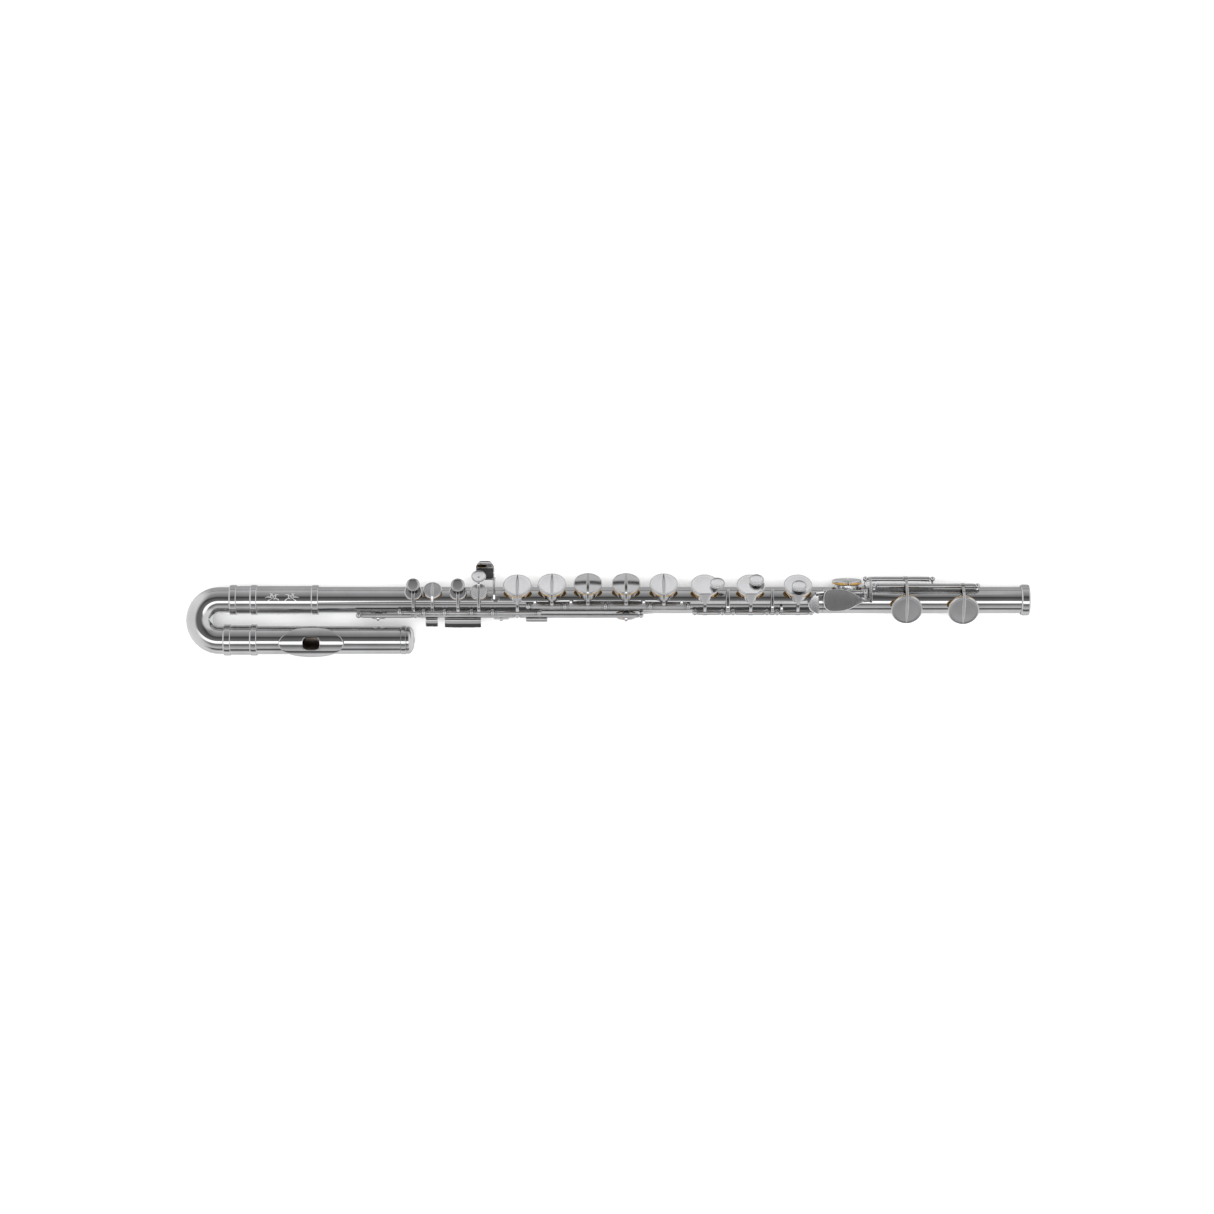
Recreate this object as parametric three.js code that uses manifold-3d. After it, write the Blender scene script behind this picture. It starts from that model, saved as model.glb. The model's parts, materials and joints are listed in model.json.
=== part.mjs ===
// Bass flute in C with a U-bend head joint, lying flat as it rests on a table.
// Millimetres. X runs along the tubes from the bend to the foot, Y across them, Z is up.
// The body tube's axis is the X axis until the whole group is moved to stand on z = 0.
// Angles round the body tube are measured from +Z towards +Y.
import * as THREE from 'three';
import { mergeVertices } from 'three/addons/utils/BufferGeometryUtils.js';
import Module from 'manifold-3d';

const wasm = await Module();
wasm.setup();

const DEG = Math.PI / 180;

// Driving dimensions ------------------------------------------------------------------------
const GAP = 0.3; // clearance between neighbouring pieces
const WALL = 1.0; // tube wall
const BODY_RADIUS = 16.0;
const HEAD_AXIS_Y = -48.4;
const BEND_X = -468.6; // where the straight legs of the crook meet its half circle
const LEG_END_X = -424;
const CROOK_RADIUS = { body: 15.5, head: 17.1 };
const HEAD_RADIUS = { crook: 17.2, crown: 16.8 };
const CROWN_X = -249;
const BARREL_END_X = -348.5;
const FOOT_START_X = 260.5;
const FOOT_END_X = 510.6;
const TENON_LENGTH = 13;

const LIP = { x: -357, tilt: -12, length: 79, width: 38.6, inner: 20.4, outer: 21.8 };
const MOUTH_HOLE = { length: 19.6, width: 16, corner: 5 };

// Cup sizes: radius, height of the tone hole rim and of the closed cup's face above the tube axis.
const LARGE = { radius: 17.4, hole: 13.6, rim: 19.2, face: 24.2 };
const FOOT = { radius: 18.8, hole: 14.2, rim: 19.6, face: 24.8 };
const SMALL = { radius: 10.5, hole: 7.4, rim: 18.2, face: 22.6 };
const TRILL = { radius: 11.5, hole: 7.8, rim: 18.2, face: 22.6 };
const NEAR = { radius: 10.0, hole: 6.5, rim: 18.2, face: 22.4 };
const SIDE = { radius: 12.5, hole: 8.6, rim: 18.2, face: 22.4 };
const CUP_SKIN = 0.9;
const PAD_LIFT = 0.3; // a shut pad stays this far off its rim

const STEEL_RADIUS = 1.2;
const STEEL_BORE = 1.5;
const HINGE_TUBE_RADIUS = 2.7;
const POST_BALL_RADIUS = 3.3;
const POST_STEM_RADIUS = 1.4;
const STRAP = { inner: BODY_RADIUS + GAP, outer: BODY_RADIUS + GAP + 1.1 };
const ARM = { width: 4.2, thickness: 1.8 };

const TUBE_SIDES = 20;
const CUP_SIDES = 16;
const PAD_SIDES = 12;
const CHIMNEY_SIDES = 14;
const ROD_SIDES = 8;
const BORE_SIDES = 6;

// Hinge lines: y and z of each axis, and the steel's ends along X.
const HINGES = {
  main: { y: -8, z: 19.5, from: -97, to: 100 },
  left: { y: -15.5, z: 14.3, from: -252, to: -80 },
  right: { y: -15.5, z: 14.3, from: 104, to: 248 },
  near: { y: -18.9, z: 8.2, from: -302, to: 43 },
  pinky: { y: 9.6, z: 19.8, from: 260.5, to: 313 },
  footInner: { y: 17, z: 13.5, from: 320, to: 448.5 },
  footOuter: { y: 25.4, z: 7, from: 310, to: 395 },
};
const POSTS = {
  main: [-95, -50.8, -2, 52, 98],
  left: [-250, -221, -196, -163.5, -138, -82],
  right: [106, 139, 152, 193, 205, 246],
  near: [-300, -231, -108.5],
  pinky: [262.5, 311],
  footInner: [322, 446.5],
  footOuter: [312, 393],
};

// Keys ---------------------------------------------------------------------------------------
// x: cup centre; phi: direction of its tone hole; cup: size; hinge: hinge line; tube: hinge tube
// along X; open: how far the key stands open at rest, degrees about the hinge.
const KEYS = [
  { name: 'c_sharp_key', x: -233.2, phi: 30, cup: SMALL, hinge: 'left', tube: [-247, -224], open: 8,
    button: { radius: 8.2, along: 0, across: 6, lift: 6.5, tilt: 0 } },
  { name: 'lower_trill_key', x: -210.3, phi: 34, cup: TRILL, hinge: 'left', tube: [-218, -199], open: 0 },
  { name: 'c_key', x: -179.4, phi: 30, cup: SMALL, hinge: 'left', tube: [-193, -166.5], open: 8,
    button: { radius: 8.5, along: 0, across: 5.5, lift: 6.5, tilt: 0 } },
  { name: 'b_key', x: -154.4, phi: 30, cup: SMALL, hinge: 'left', tube: [-160.5, -141], open: 8,
    button: { radius: 9, along: 0, across: 16, lift: 8, tilt: 14 } },
  { name: 'a_sharp_key', x: -107.9, phi: 52, cup: LARGE, hinge: 'left', tube: [-135, -85], open: 12 },
  { name: 'a_key', x: -66.3, phi: 52, cup: LARGE, hinge: 'main', tube: [-92, -53.8], open: 12 },
  { name: 'g_sharp_twin_key', x: -23, phi: 56, cup: LARGE, hinge: 'main', tube: [-47.8, -5], open: 12 },
  { name: 'g_key', x: 23, phi: 56, cup: LARGE, hinge: 'main', tube: [1, 49], open: 12 },
  { name: 'f_sharp_key', x: 68.4, phi: 52, cup: LARGE, hinge: 'main', tube: [55, 95], open: 12 },
  { name: 'f_key', x: 117.9, phi: 52, cup: LARGE, hinge: 'right', tube: [109, 136], open: 12,
    button: { radius: 9.1, along: 15, across: -1.4, lift: 4, tilt: 0 } },
  { name: 'e_key', x: 173, phi: 52, cup: LARGE, hinge: 'right', tube: [155, 190], open: 12,
    button: { radius: 9.1, along: 7, across: 3.9, lift: 4, tilt: 0 } },
  { name: 'd_key', x: 229.9, phi: 52, cup: LARGE, hinge: 'right', tube: [208, 243], open: 12,
    button: { radius: 9.1, along: 1, across: -5.5, lift: 4, tilt: 0 } },
  { name: 'upper_trill_key', x: -276.5, phi: -100, cup: NEAR, hinge: 'near', tube: [-297, -234], open: 0 },
  { name: 'thumb_key', x: -128, phi: -100, cup: NEAR, hinge: 'near', tube: [-228, -111.5], open: -8 },
  { name: 'g_sharp_key', x: 23, phi: -105.5, cup: SIDE, hinge: 'near', tube: [-105.5, 38], open: 0 },
  { name: 'd_sharp_key', x: 290.4, phi: 83, cup: FOOT, hinge: 'pinky', tube: [266.6, 307], open: 0 },
  { name: 'low_c_sharp_key', x: 360.6, phi: -36, cup: FOOT, hinge: 'footOuter', tube: [315.6, 389.5], open: -8,
    kneeLift: 6 },
  { name: 'low_c_key', x: 428.9, phi: -36, cup: FOOT, hinge: 'footInner', tube: [325, 443.5], open: -8 },
];

// Materials ------------------------------------------------------------------------------------
const FINISHES = {
  silver: { color: 0xc9cacc, roughness: 0.12, metalness: 1.0 },
  satin: { color: 0xd9dadb, roughness: 0.35, metalness: 1.0 },
  steel: { color: 0x9b9da0, roughness: 0.25, metalness: 1.0 },
  pad: { color: 0xb98a3a, roughness: 0.8, metalness: 0.0 },
  cork: { color: 0xa8763f, roughness: 0.9, metalness: 0.0 },
};

const flute = new THREE.Group();

function addPiece(name, geometry, finish, parent = flute) {
  const mesh = new THREE.Mesh(geometry, new THREE.MeshStandardMaterial(FINISHES[finish]));
  mesh.name = name;
  parent.add(mesh);
  return mesh;
}

// Solids ---------------------------------------------------------------------------------------
function toSolid(geometry) {
  const bare = geometry.clone();
  bare.deleteAttribute('normal');
  bare.deleteAttribute('uv');
  const merged = mergeVertices(bare, 1e-4);
  const index = merged.index.array;
  const triangles = [];
  for (let i = 0; i < index.length; i += 3) {
    const [a, b, c] = [index[i], index[i + 1], index[i + 2]];
    if (a !== b && b !== c && c !== a) triangles.push(a, b, c);
  }
  return new wasm.Manifold(new wasm.Mesh({
    numProp: 3,
    vertProperties: new Float32Array(merged.attributes.position.array),
    triVerts: new Uint32Array(triangles),
  }));
}

function toGeometry(solid) {
  const mesh = solid.getMesh();
  const geometry = new THREE.BufferGeometry();
  geometry.setAttribute('position', new THREE.BufferAttribute(mesh.vertProperties, 3));
  geometry.setIndex(new THREE.BufferAttribute(mesh.triVerts, 1));
  geometry.computeVertexNormals();
  return geometry;
}

const joinAll = (solids) => solids.reduce((whole, solid) => whole.add(solid));
const cutAll = (solid, cutters) => cutters.reduce((rest, cutter) => rest.subtract(cutter), solid);

// A solid turned about the X axis. Each point is [x, radius], in order of rising x on the outside.
function turned(profile, sides) {
  const points = profile.map(([x, radius]) => new THREE.Vector2(radius, x));
  return new THREE.LatheGeometry(points, sides).rotateZ(-Math.PI / 2);
}

function rod(from, to, radius, sides) {
  return turned([[from, 0], [from, radius], [to, radius], [to, 0]], sides);
}

// A solid turned about the Z axis, for cups, pads and chimneys. Each point is [radius, z].
function cupTurned(profile, sides) {
  const points = profile.map(([radius, z]) => new THREE.Vector2(radius, z));
  return new THREE.LatheGeometry(points, sides).rotateX(Math.PI / 2);
}

// Turns a shape built on +Z so that it points out of the tube at angle phi, at a place along X.
const pointOut = (geometry, x, phi) => geometry.rotateX(-phi * DEG).translate(x, 0, 0);

// A bent strip in the YZ plane: its middle line, its thickness, and its span along X.
function strip(line, thickness, from, to) {
  const half = thickness / 2;
  const left = [];
  const right = [];
  line.forEach((point, i) => {
    const before = line[Math.max(i - 1, 0)];
    const after = line[Math.min(i + 1, line.length - 1)];
    const side = new THREE.Vector2(before.y - after.y, after.x - before.x).normalize();
    left.push(point.clone().addScaledVector(side, half));
    right.unshift(point.clone().addScaledVector(side, -half));
  });
  const shape = new THREE.Shape([...right, ...left]);
  const geometry = new THREE.ExtrudeGeometry(shape, { depth: to - from, bevelEnabled: false });
  const axes = new THREE.Matrix4().makeBasis(
    new THREE.Vector3(0, 1, 0),
    new THREE.Vector3(0, 0, 1),
    new THREE.Vector3(1, 0, 0),
  );
  return geometry.applyMatrix4(axes).translate(from, 0, 0);
}

// A flat plate outlined in the XY plane, lying between two heights.
function plate(outline, low, high) {
  const shape = new THREE.Shape(outline);
  return new THREE.ExtrudeGeometry(shape, { depth: high - low, bevelEnabled: false }).translate(0, 0, low);
}

const at = (y, z) => new THREE.Vector2(y, z);

// Head joint -----------------------------------------------------------------------------------
function roundedSlot(length, width, corner) {
  const shape = new THREE.Shape();
  const [x, y] = [length / 2 - corner, width / 2 - corner];
  shape.absarc(x, y, corner, 0, Math.PI / 2);
  shape.absarc(-x, y, corner, Math.PI / 2, Math.PI);
  shape.absarc(-x, -y, corner, Math.PI, 1.5 * Math.PI);
  shape.absarc(x, -y, corner, 1.5 * Math.PI, 2 * Math.PI);
  return shape.getPoints(3).slice(0, -1);
}

function mouthHole(grow, low, high) {
  const { length, width, corner } = MOUTH_HOLE;
  const outline = roundedSlot(length + 2 * grow, width + 2 * grow, corner + grow);
  return toSolid(pointOut(plate(outline, low, high), LIP.x, LIP.tilt));
}

const headRadiusAt = (x) => THREE.MathUtils.mapLinear(
  x, LEG_END_X, CROWN_X, HEAD_RADIUS.crook, HEAD_RADIUS.crown,
);

function headTube() {
  const from = LEG_END_X + GAP;
  const to = CROWN_X - GAP;
  const wall = turned([
    [from, headRadiusAt(from) - WALL], [from, headRadiusAt(from)],
    [to, headRadiusAt(to)], [to, headRadiusAt(to) - WALL],
    [from, headRadiusAt(from) - WALL],
  ], TUBE_SIDES);
  return toGeometry(toSolid(wall).subtract(mouthHole(0, 8, 30)));
}

// The plate is an oval cut from a saddle-shaped shell, with the riser that carries it on the tube.
function lipPlate() {
  const half = LIP.length / 2;
  const [from, to] = [LIP.x - half - 1, LIP.x + half + 1];
  const shell = toSolid(turned([
    [from, LIP.inner], [from, LIP.outer], [to, LIP.outer], [to, LIP.inner], [from, LIP.inner],
  ], 40));
  const oval = new THREE.EllipseCurve(0, 0, half, LIP.width / 2).getPoints(20).slice(0, -1);
  const ovalPrism = toSolid(pointOut(plate(oval, 0, 30), LIP.x, LIP.tilt));
  const core = toSolid(rod(from, to, LIP.outer - 0.05, 40));
  const riser = mouthHole(2.2, 8, 30).intersect(core);
  const tube = toSolid(rod(from, to, headRadiusAt(from) + GAP, 40));
  return toGeometry(shell.intersect(ovalPrism).add(riser).subtract(tube).subtract(mouthHole(0, 8, 30)));
}

// Crown cap, its threaded stopper screw and the stopper's reflecting plate, in one turned piece.
function crownCap() {
  const profile = [
    [-327, 0], [-327, 14.6], [-325, 14.6], [-325, 2.2], [-256, 2.2], [-256, 15.2],
    [CROWN_X, 15.2], [CROWN_X, 17.0], [CROWN_X + 1, 17.6], [CROWN_X + 6, 17.6], [CROWN_X + 7, 16.9],
    [CROWN_X + 8.5, 16.9],
  ];
  const domeSteps = 3;
  for (let i = 1; i <= domeSteps; i += 1) {
    const turn = (i / domeSteps) * (Math.PI / 2);
    profile.push([CROWN_X + 8.5 + 7.9 * Math.sin(turn), 16.9 * Math.cos(turn)]);
  }
  return turned(profile, TUBE_SIDES);
}

function stopperCork() {
  return turned([[-324.7, 2.5], [-324.7, 15.4], [-304, 15.4], [-304, 2.5], [-324.7, 2.5]], 20);
}

// The crook's centre line: a straight leg, a half circle towards -Y, and a straight leg back.
class CrookLine extends THREE.Curve {
  constructor() {
    super();
    this.bendRadius = -HEAD_AXIS_Y / 2;
    this.leg = LEG_END_X - BEND_X;
    this.arc = Math.PI * this.bendRadius;
  }

  getPoint(t, target = new THREE.Vector3()) {
    const run = t * (2 * this.leg + this.arc);
    if (run < this.leg) return target.set(LEG_END_X - run, 0, 0);
    const turn = (run - this.leg) / this.bendRadius;
    if (turn > Math.PI) return target.set(BEND_X + run - this.leg - this.arc, HEAD_AXIS_Y, 0);
    const x = BEND_X - this.bendRadius * Math.sin(turn);
    return target.set(x, -this.bendRadius * (1 - Math.cos(turn)), 0);
  }
}

// Share of the way along the crook, from its body leg (0) to its head leg (1), of a point near it.
function crookShare(x, y, line) {
  const length = 2 * line.leg + line.arc;
  if (x >= BEND_X && y > -line.bendRadius) return (LEG_END_X - x) / length;
  if (x >= BEND_X) return 1 - (LEG_END_X - x) / length;
  const turn = Math.atan2(BEND_X - x, y + line.bendRadius);
  return (line.leg + turn * line.bendRadius) / length;
}

function crookBend() {
  const line = new CrookLine();
  const ring = new THREE.Shape().absarc(0, 0, CROOK_RADIUS.body, 0, 2 * Math.PI);
  ring.holes.push(new THREE.Path().absarc(0, 0, CROOK_RADIUS.body - WALL, 0, 2 * Math.PI, true));
  const sweep = { steps: 15, curveSegments: 9, extrudePath: line, bevelEnabled: false };
  const bend = new THREE.ExtrudeGeometry(ring, sweep);
  const position = bend.attributes.position;
  const point = new THREE.Vector3();
  for (let i = 0; i < position.count; i += 1) {
    point.fromBufferAttribute(position, i);
    const share = crookShare(point.x, point.y, line);
    const middle = line.getPoint(THREE.MathUtils.clamp(share, 0, 1));
    const grow = THREE.MathUtils.lerp(1, CROOK_RADIUS.head / CROOK_RADIUS.body, share);
    point.sub(middle).multiplyScalar(grow).add(middle);
    position.setXYZ(i, point.x, point.y, point.z);
  }
  return toGeometry(toSolid(bend));
}

// Round beads: [from, to, radius] triples on a sleeve of one inner and one outer radius.
function beadedSleeve(from, to, inner, outer, beads) {
  const profile = [[from, inner], [from, outer]];
  for (const [start, end, radius] of beads) {
    const edge = (end - start) * 0.22;
    profile.push([start, outer], [start + edge, radius], [end - edge, radius], [end, outer]);
  }
  profile.push([to, outer], [to, inner], [from, inner]);
  const distinct = profile.filter(([x, r], i) => i === 0 || x !== profile[i - 1][0] || r !== profile[i - 1][1]);
  return turned(distinct, TUBE_SIDES);
}

// Body and foot tubes with drawn tone holes -------------------------------------------------------
function drawnTube(wallProfile, boreProfile, keys) {
  const outside = toSolid(turned(wallProfile, TUBE_SIDES));
  const chimneys = keys.map(({ x, phi, cup }) => toSolid(pointOut(
    cupTurned([[0, 0], [cup.hole + 0.8, 0], [cup.hole + 0.8, cup.rim], [0, cup.rim]], CHIMNEY_SIDES), x, phi,
  )));
  const bore = toSolid(turned(boreProfile, TUBE_SIDES));
  const holes = keys.map(({ x, phi, cup }) => toSolid(pointOut(
    cupTurned([[0, 1], [cup.hole, 1], [cup.hole, 30], [0, 30]], CHIMNEY_SIDES), x, phi,
  )));
  return toGeometry(cutAll(joinAll([outside, ...chimneys]), [bore, ...holes]));
}

function bodyTube() {
  const from = LEG_END_X + 3;
  const shoulder = FOOT_START_X - GAP;
  const to = FOOT_START_X + TENON_LENGTH;
  const tenon = BODY_RADIUS - WALL - GAP;
  const wall = [[from, 0], [from, BODY_RADIUS], [shoulder, BODY_RADIUS], [shoulder, tenon], [to, tenon], [to, 0]];
  const bore = [
    [from - 1, 0], [from - 1, BODY_RADIUS - WALL], [shoulder - 3, BODY_RADIUS - WALL],
    [shoulder - 3, tenon - WALL], [to + 1, tenon - WALL], [to + 1, 0],
  ];
  return drawnTube(wall, bore, KEYS.filter(({ x }) => x < FOOT_START_X));
}

function footTube() {
  const [from, to] = [FOOT_START_X, FOOT_END_X - 1];
  const inner = BODY_RADIUS - WALL;
  const wall = [[from, 0], [from, BODY_RADIUS], [to, BODY_RADIUS], [to, 0]];
  const bore = [[from - 1, 0], [from - 1, inner], [to + 1, inner], [to + 1, 0]];
  return drawnTube(wall, bore, KEYS.filter(({ x }) => x > FOOT_START_X));
}

// Ribs: a strap on the tube with the posts that carry the hinge steels --------------------------------
function strap(from, to, lowPhi, highPhi) {
  const shape = new THREE.Shape();
  const angle = (phi) => (90 - phi) * DEG;
  shape.absarc(0, 0, STRAP.outer, angle(highPhi), angle(lowPhi), false);
  shape.absarc(0, 0, STRAP.inner, angle(lowPhi), angle(highPhi), true);
  const geometry = new THREE.ExtrudeGeometry(shape, { depth: to - from, bevelEnabled: false, curveSegments: 3 });
  const axes = new THREE.Matrix4().makeBasis(
    new THREE.Vector3(0, 1, 0),
    new THREE.Vector3(0, 0, 1),
    new THREE.Vector3(1, 0, 0),
  );
  return toSolid(geometry.applyMatrix4(axes).translate(from, 0, 0));
}

// A post stands on the strap at footPhi and ends in a ball on the hinge line.
function post(hinge, x, footPhi) {
  const foot = new THREE.Vector3(0, Math.sin(footPhi * DEG), Math.cos(footPhi * DEG));
  foot.multiplyScalar(STRAP.outer - 0.1);
  const head = new THREE.Vector3(0, hinge.y, hinge.z);
  const rise = head.clone().sub(foot);
  const length = rise.length();
  const stem = cupTurned([
    [0, 0], [POST_STEM_RADIUS, 0], [POST_STEM_RADIUS, length - 2.6], [POST_BALL_RADIUS, length - 1.2],
    [POST_BALL_RADIUS, length + 1.2], [0, length + 3],
  ], ROD_SIDES);
  const turn = new THREE.Quaternion().setFromUnitVectors(new THREE.Vector3(0, 0, 1), rise.normalize());
  stem.applyQuaternion(turn).translate(x, foot.y, foot.z);
  return toSolid(stem);
}

function steelBore(hinge, from, to) {
  return toSolid(rod(from, to, STEEL_BORE / Math.cos(Math.PI / BORE_SIDES), BORE_SIDES).translate(0, hinge.y, hinge.z));
}

// postRows: [hinge name, places along X, foot angle] for each row of posts on this rib.
function rib(straps, postRows) {
  const solids = [...straps];
  const bores = [];
  for (const [name, places, footPhi] of postRows) {
    const hinge = HINGES[name];
    places.forEach((x) => {
      solids.push(post(hinge, x, footPhi));
      bores.push(steelBore(hinge, x - 5, x + 5));
    });
  }
  return toGeometry(cutAll(joinAll(solids), bores));
}

// Keys -------------------------------------------------------------------------------------------
function cupShell({ radius, rim, face }) {
  const low = rim + 0.9;
  return cupTurned([
    [0, face - CUP_SKIN], [radius - CUP_SKIN, face - CUP_SKIN], [radius - CUP_SKIN, low], [radius, low],
    [radius, face - 1.2], [radius - 1.2, face], [0, face],
  ], CUP_SIDES);
}

function padDisc({ radius, rim, face }) {
  const edge = radius - CUP_SKIN - GAP;
  const top = face - CUP_SKIN - GAP;
  const low = rim + PAD_LIFT;
  return cupTurned([[0, low], [edge - 0.8, low], [edge, low + 0.7], [edge, top], [0, top]], PAD_SIDES);
}

// The arm leaves the hinge tube, rises over the cup's near edge and runs across its face.
function armLine(key) {
  const { y, z } = HINGES[key.hinge];
  const hinge = at(y, z);
  const out = at(Math.sin(key.phi * DEG), Math.cos(key.phi * DEG));
  const along = at(out.y, -out.x);
  const nearSide = Math.sign(hinge.dot(along));
  const top = out.clone().multiplyScalar(key.cup.face + 0.4);
  const nearEdge = top.clone().addScaledVector(along, nearSide * (key.cup.radius - 0.5));
  const farEdge = top.clone().addScaledVector(along, -nearSide * key.cup.radius * 0.88);
  const knee = hinge.clone().lerp(nearEdge, 0.45);
  knee.addScaledVector(knee.clone().normalize(), key.kneeLift ?? 2.5);
  return [hinge, knee, nearEdge, farEdge];
}

function buttonSolid({ x, phi, cup }, { radius, along, across, lift, tilt }) {
  const disc = cupTurned([
    [0, -1.1], [radius, -1.1], [radius, 0.6], [radius - 0.6, 1.1], [0, 1.1],
  ], CUP_SIDES).rotateX(-tilt * DEG).translate(along, across, cup.face + lift);
  const reach = Math.min(Math.abs(across), cup.radius * 0.6) * Math.sign(across);
  const bend = at(reach, cup.face + lift / 2);
  const pillar = strip([at(reach, cup.face - 0.4), bend, at(across, cup.face + lift - 0.3)], 3.4, -2, 2);
  pillar.translate(Math.min(along, cup.radius - 5), 0, 0);
  const parts = [disc, pillar].map((piece) => toSolid(pointOut(piece, x, phi)));
  return joinAll(parts);
}

// Pieces that the fingers press, where they aren't a button on the cup.
const TOUCHES = {
  thumb_key: () => [
    strip([at(-18.9, 8.2), at(-25.5, 10.2), at(-32.4, 3.4)], 1.8, -196, -152),
    strip([at(-18.9, 8.2), at(-25.3, 10.3), at(-31.4, 4.4)], 1.8, -219, -204),
  ],
  g_sharp_key: () => [
    strip([at(-18.9, 8.2), at(-22.8, 10.8), at(-25.6, 8.5), at(-26, 4)], 1.8, -98, -72),
  ],
  d_sharp_key: () => [
    strip([at(9.6, 19.8), at(9.6, 25)], 3, 266.8, 271),
    plate([[250, 4.5], [271, 7], [271, 11.5], [250, 9]].map(([x, y]) => at(x, y)), 24.2, 26),
    plate([[242, -6], [248, -15], [253.5, -17], [253.5, 9], [249, 8]].map(([x, y]) => at(x, y)), 24.2, 26),
  ],
  low_c_sharp_key: () => [
    strip([at(25.4, 7), at(24.5, 17), at(17, 23.5), at(6, 27.5), at(-6.5, 27.5)], 1.8, 315.4, 318.6),
    plate(leafOutline(), 26.6, 28.4),
  ],
};

// The leaf-shaped little-finger touch: a rounded blade whose tail runs to the cross arm.
function leafOutline() {
  const middleY = -3.5;
  const shape = new THREE.Shape();
  shape.moveTo(318, middleY + 2.2);
  shape.bezierCurveTo(306, middleY + 4, 303, middleY + 13.5, 286, middleY + 14.3);
  shape.bezierCurveTo(270, middleY + 15, 260, middleY + 13, 260, middleY);
  shape.bezierCurveTo(260, middleY - 13, 270, middleY - 15, 286, middleY - 14.3);
  shape.bezierCurveTo(303, middleY - 13.5, 306, middleY - 4, 318, middleY - 2.2);
  return shape.getPoints(6);
}

function keySolid(key) {
  const hinge = HINGES[key.hinge];
  const [from, to] = key.tube;
  const arm = strip(armLine(key), ARM.thickness, key.x - ARM.width / 2, key.x + ARM.width / 2);
  const solids = [
    toSolid(pointOut(cupShell(key.cup), key.x, key.phi)),
    toSolid(arm),
    toSolid(rod(from, to, HINGE_TUBE_RADIUS, ROD_SIDES).translate(0, hinge.y, hinge.z)),
  ];
  if (key.button) solids.push(buttonSolid(key, key.button));
  if (TOUCHES[key.name]) solids.push(...TOUCHES[key.name]().map(toSolid));
  return toGeometry(joinAll(solids).subtract(steelBore(hinge, from - 30, to + 30)));
}

// A body's pieces are built with the key shut, and hang in a group that turns about its hinge.
function addKey(key) {
  const { y, z } = HINGES[key.hinge];
  const pivot = new THREE.Group();
  pivot.position.set(0, y, z);
  pivot.rotation.x = key.open * DEG;
  flute.add(pivot);
  const cup = addPiece(key.name, keySolid(key), 'satin', pivot);
  const pad = addPiece(`${key.name}_pad`, pointOut(padDisc(key.cup), key.x, key.phi), 'pad', pivot);
  [cup, pad].forEach((piece) => piece.position.set(0, -y, -z));
}

// A right-hand trill touch: a short hinge tube with a curved finger plate over the body tube.
function trillTouch(from, to) {
  const { y, z } = HINGES.right;
  const blade = [at(y, z), at(y + 4, z + 9), at(-2, 24.5), at(8, 22), at(13.5, 18.6)];
  const solids = [
    toSolid(rod(from, to, HINGE_TUBE_RADIUS, ROD_SIDES).translate(0, y, z)),
    toSolid(strip(blade, ARM.thickness, from + 1.2, to - 1.2)),
  ];
  return toGeometry(joinAll(solids).subtract(steelBore(HINGES.right, from - 5, to + 5)));
}

// Hand rest: a saddle beside the tube whose outer end curls over, on an arm from the tube's top.
function handRest() {
  const saddle = [at(24.5, 11), at(28, 8.5), at(33, 8), at(39, 10.5), at(44.5, 15.5), at(47.4, 15.2)];
  const armLineOfRest = [at(1, 18), at(8, 19), at(17, 17), at(27, 9.5)];
  const solids = [
    toSolid(strip(saddle, 1.8, -158.5, -136)),
    toSolid(strip(armLineOfRest, 2.6, -137.6, -134.4)),
    toSolid(pointOut(plate(roundedSlot(11, 8, 2), STRAP.inner + 0.6, STRAP.inner + 2.4), -134.4, 6)),
  ];
  return toGeometry(joinAll(solids));
}

// Assembly ---------------------------------------------------------------------------------------
const headJoint = new THREE.Group();
headJoint.position.y = HEAD_AXIS_Y;
flute.add(headJoint);
addPiece('head_tube', headTube(), 'silver', headJoint);
addPiece('lip_plate', lipPlate(), 'silver', headJoint);
addPiece('crown_cap', crownCap(), 'silver', headJoint);
addPiece('stopper_cork', stopperCork(), 'cork', headJoint);
addPiece('head_ferrule', beadedSleeve(-463.4, -422.7, CROOK_RADIUS.head + GAP, 18.5,
  [[-463.4, -452.8, 19.4], [-432.8, -422.7, 19.4]]), 'silver', headJoint);
addPiece('crook_bend', crookBend(), 'silver');
addPiece('barrel', beadedSleeve(-456.2, BARREL_END_X, BODY_RADIUS + GAP, 17.1,
  [[-456.2, -445.9, 18.6], [-430.5, -422.7, 18.6], [-356.5, BARREL_END_X, 18.4]]), 'silver');
addPiece('body_tube', bodyTube(), 'silver');
addPiece('foot_tube', footTube(), 'silver');
addPiece('foot_end_ring', beadedSleeve(500, FOOT_END_X, BODY_RADIUS + GAP, 17.6,
  [[500, 503.5, 18.2], [506.5, FOOT_END_X, 18.9]]), 'silver');

addPiece('left_rib', rib([strap(-303, -79, -62, -38)],
  [['left', POSTS.left, -47.3], ['near', POSTS.near, -60]]), 'silver');
addPiece('main_rib', rib([strap(-98, 101, -36, -14), strap(38.8, 43.2, -58, -35)],
  [['main', POSTS.main, -22.3], ['near', [41], -54]]), 'silver');
addPiece('right_rib', rib([strap(103, 249, -56, -38)], [['right', POSTS.right, -47.3]]), 'silver');
addPiece('foot_rib', rib([strap(308, 449, 44, 80), strap(260.8, 318, 2, 14), strap(307, 318, 2, 50)],
  [['pinky', POSTS.pinky, 10], ['footInner', POSTS.footInner, 51.5], ['footOuter', POSTS.footOuter, 74.6]]),
'silver');
addPiece('hand_rest', handRest(), 'silver');

for (const [name, { y, z, from, to }] of Object.entries(HINGES)) {
  const nodeName = `${name.replace('foot', 'foot_').toLowerCase()}_hinge_steel`;
  const steel = addPiece(nodeName, rod(from, to, STEEL_RADIUS, ROD_SIDES), 'steel');
  steel.position.set(0, y, z);
}

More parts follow.
